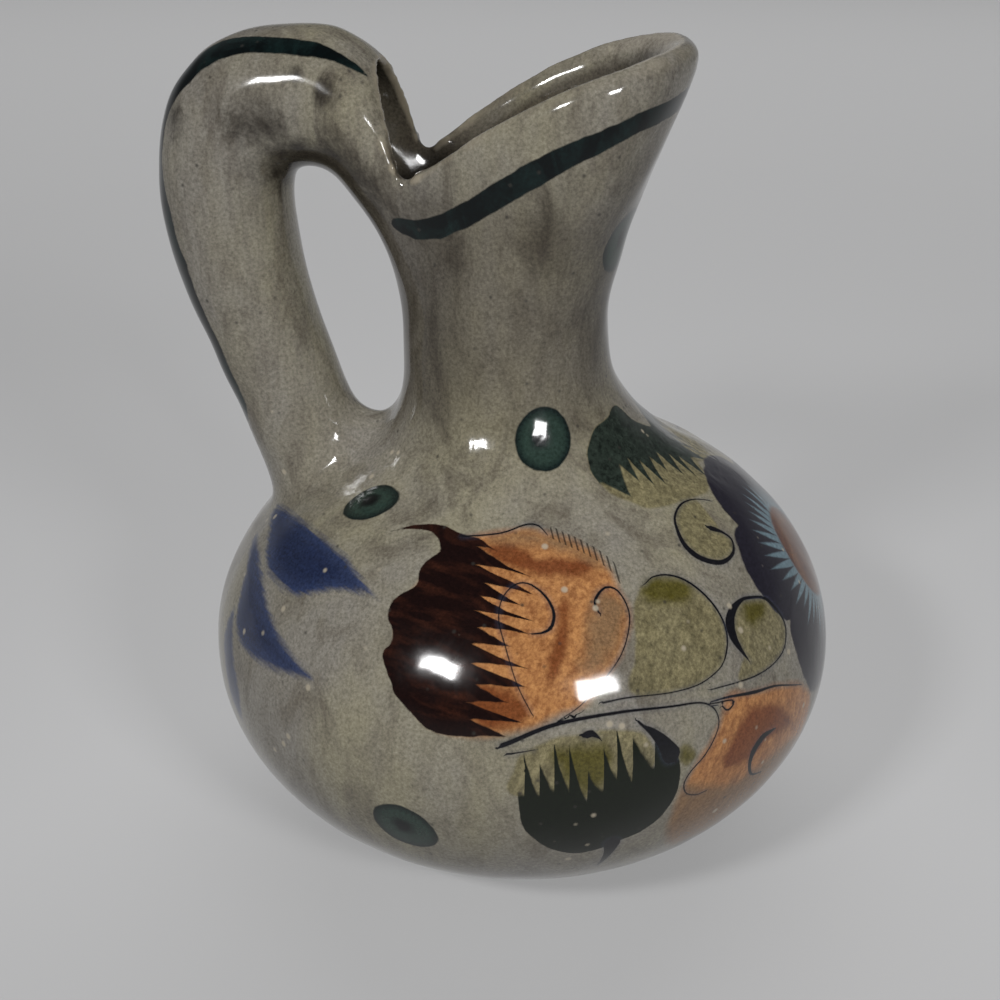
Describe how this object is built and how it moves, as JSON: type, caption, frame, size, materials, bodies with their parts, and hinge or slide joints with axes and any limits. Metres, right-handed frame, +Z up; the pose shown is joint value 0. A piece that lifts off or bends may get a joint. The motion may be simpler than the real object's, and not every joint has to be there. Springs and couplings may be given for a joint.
{
  "type": "pitcher",
  "caption": "Squat round earthenware pitcher with a flared pouring mouth and a hollow loop handle that opens into the mouth, glazed grey and painted with folk flowers.",
  "frame": {"origin": "middle of the flat base, on the table", "axes": "+Z up, +X towards the pouring lip, -X towards the handle; the jug is alike on both sides of the XZ plane"},
  "size_m": [0.1805, 0.172, 0.222],
  "materials": {
    "glazed_clay": "glossy clear glaze over grey slip and brushed pigments",
    "bare_clay": "unglazed fired clay"
  },
  "bodies": {
    "root": {"base_slab": "bare_clay", "lower_bowl": "glazed_clay", "upper_bowl": "glazed_clay", "neck_collar": "glazed_clay", "neck_near_half": "glazed_clay", "neck_far_half": "glazed_clay", "handle_near_half": "glazed_clay", "handle_far_half": "glazed_clay", "handle_root_collar": "glazed_clay"}
  },
  "joints": []
}
